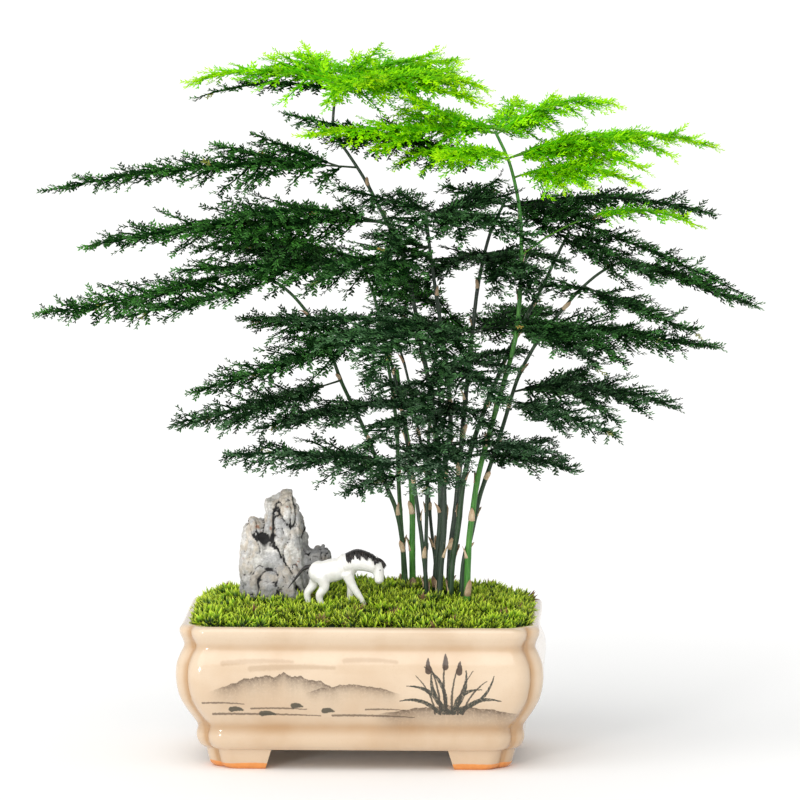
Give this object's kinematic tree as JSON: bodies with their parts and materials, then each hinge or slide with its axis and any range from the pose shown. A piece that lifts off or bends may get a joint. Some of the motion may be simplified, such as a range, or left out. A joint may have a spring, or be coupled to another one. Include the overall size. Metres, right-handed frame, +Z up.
{
  "type": "potted lace fern",
  "caption": "Feathery lace fern with arching green fronds in a rectangular glazed pot on feet, with moss, a craggy stone and a small grazing horse figure.",
  "frame": {"origin": "centre of the whole plant's footprint, on the surface that the pot stands on", "axes": "+X along the pot's long side, to the viewer's right; +Y away from the viewer; +Z up"},
  "size_m": [0.4216, 0.2182, 0.419],
  "materials": {
    "glaze": "gloss",
    "earth": "matte",
    "moss": "matte",
    "limestone": "matte",
    "figure": "satin",
    "cane": "satin",
    "dark_leaf": "matte",
    "young_leaf": "matte"
  },
  "bodies": {
    "root": {"pot": "glaze", "soil": "earth", "moss": "moss", "stone": "limestone", "horse": "figure", "cane_01": "cane", "cane_02": "cane", "cane_03": "cane", "cane_04": "cane", "cane_05": "cane", "cane_06": "cane", "cane_07": "cane", "cane_08": "cane", "cane_09": "cane", "cane_10": "cane", "cane_11": "cane", "cane_12": "cane", "dark_frond_01": "dark_leaf", "dark_frond_02": "dark_leaf", "dark_frond_03": "dark_leaf", "dark_frond_04": "dark_leaf", "dark_frond_05": "dark_leaf", "dark_frond_06": "dark_leaf", "dark_frond_07": "dark_leaf", "dark_frond_08": "dark_leaf", "dark_frond_09": "dark_leaf", "dark_frond_10": "dark_leaf", "dark_frond_11": "dark_leaf", "dark_frond_12": "dark_leaf", "dark_frond_13": "dark_leaf", "dark_frond_14": "dark_leaf", "dark_frond_15": "dark_leaf", "dark_frond_16": "dark_leaf", "dark_frond_17": "dark_leaf", "dark_frond_18": "dark_leaf", "dark_frond_19": "dark_leaf", "dark_frond_20": "dark_leaf", "dark_frond_21": "dark_leaf", "dark_frond_22": "dark_leaf", "dark_frond_23": "dark_leaf", "dark_frond_24": "dark_leaf", "dark_frond_25": "dark_leaf", "dark_frond_26": "dark_leaf", "dark_frond_27": "dark_leaf", "dark_frond_28": "dark_leaf", "dark_frond_29": "dark_leaf", "dark_frond_30": "dark_leaf", "dark_frond_31": "dark_leaf", "young_frond_01": "young_leaf", "young_frond_02": "young_leaf", "young_frond_03": "young_leaf", "young_frond_04": "young_leaf", "young_frond_05": "young_leaf", "young_frond_06": "young_leaf", "young_frond_07": "young_leaf", "young_frond_08": "young_leaf", "young_frond_09": "young_leaf", "young_frond_10": "young_leaf", "young_frond_11": "young_leaf", "young_frond_12": "young_leaf"}
  },
  "joints": []
}
